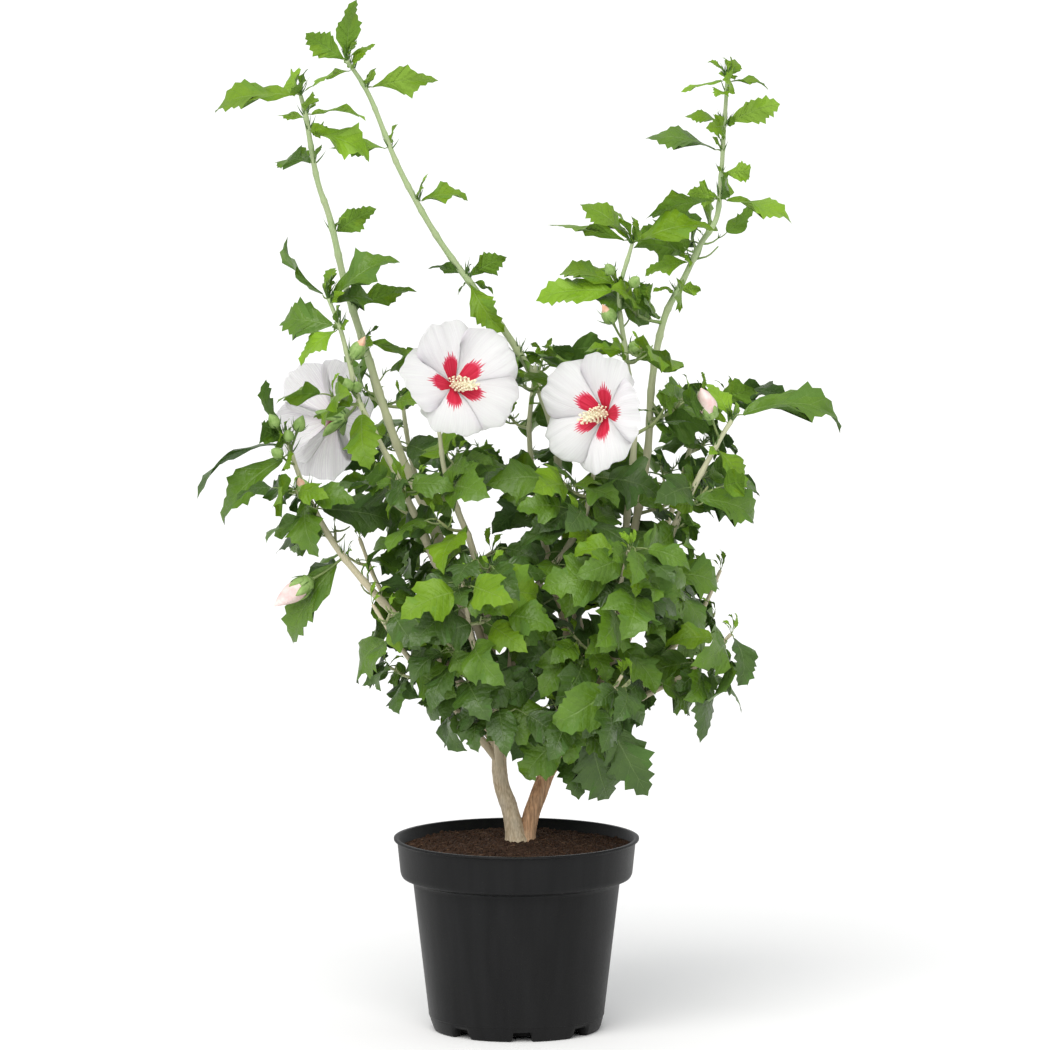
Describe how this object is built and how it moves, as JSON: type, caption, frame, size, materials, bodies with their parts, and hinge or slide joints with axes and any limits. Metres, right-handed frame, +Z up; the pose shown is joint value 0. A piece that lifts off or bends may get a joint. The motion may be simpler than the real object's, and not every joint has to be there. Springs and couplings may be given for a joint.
{
  "type": "hibiscus shrub in a pot",
  "caption": "Young rose of Sharon shrub with lobed leaves, open pale flowers with red eyes and tall bare-stemmed shoots, standing in a round black nursery pot.",
  "frame": {"origin": "centre of the pot's underside, on the pad that stands on the ground", "axes": "+X to the viewer's right, +Y to the back, away from the viewer, +Z up along the stems"},
  "size_m": [0.6084, 0.3953, 0.9701],
  "materials": {
    "pot_plastic": "satin black moulded plastic",
    "potting_soil": "damp loose peat",
    "bark": "thin greyish tan bark",
    "foliage": "soft leaf"
  },
  "bodies": {
    "root": {"pot": "pot_plastic", "soil": "potting_soil", "trunk": "bark", "stem_left": "bark", "stem_right": "bark", "bough_tall_leader": "bark", "bough_left_leader": "bark", "bough_left_bloom": "bark", "bough_left_arching": "bark", "bough_middle_left_bloom": "bark", "bough_middle_right_bloom": "bark", "bough_right_middle": "bark", "bough_right_leader": "bark", "bough_right_arching": "bark", "bough_back_right": "bark", "bough_back_middle": "bark", "bough_back_left": "bark", "bough_low_right": "bark", "bough_low_back_right": "bark", "bough_low_left": "bark", "bough_low_back_left": "bark", "bough_low_front": "bark", "bough_low_back": "bark", "bough_front_left": "bark", "bough_front_right": "bark", "foliage_tall_leader": "foliage", "foliage_left_leader": "foliage", "foliage_left_bloom": "foliage", "foliage_left_arching": "foliage", "foliage_middle_left_bloom": "foliage", "foliage_middle_right_bloom": "foliage", "foliage_right_middle": "foliage", "foliage_right_leader": "foliage", "foliage_right_arching": "foliage", "foliage_back_right": "foliage", "foliage_back_middle": "foliage", "foliage_back_left": "foliage", "foliage_low_right": "foliage", "foliage_low_back_right": "foliage", "foliage_low_left": "foliage", "foliage_low_back_left": "foliage", "foliage_low_front": "foliage", "foliage_low_back": "foliage", "foliage_front_left": "foliage", "foliage_front_right": "foliage"}
  },
  "joints": []
}
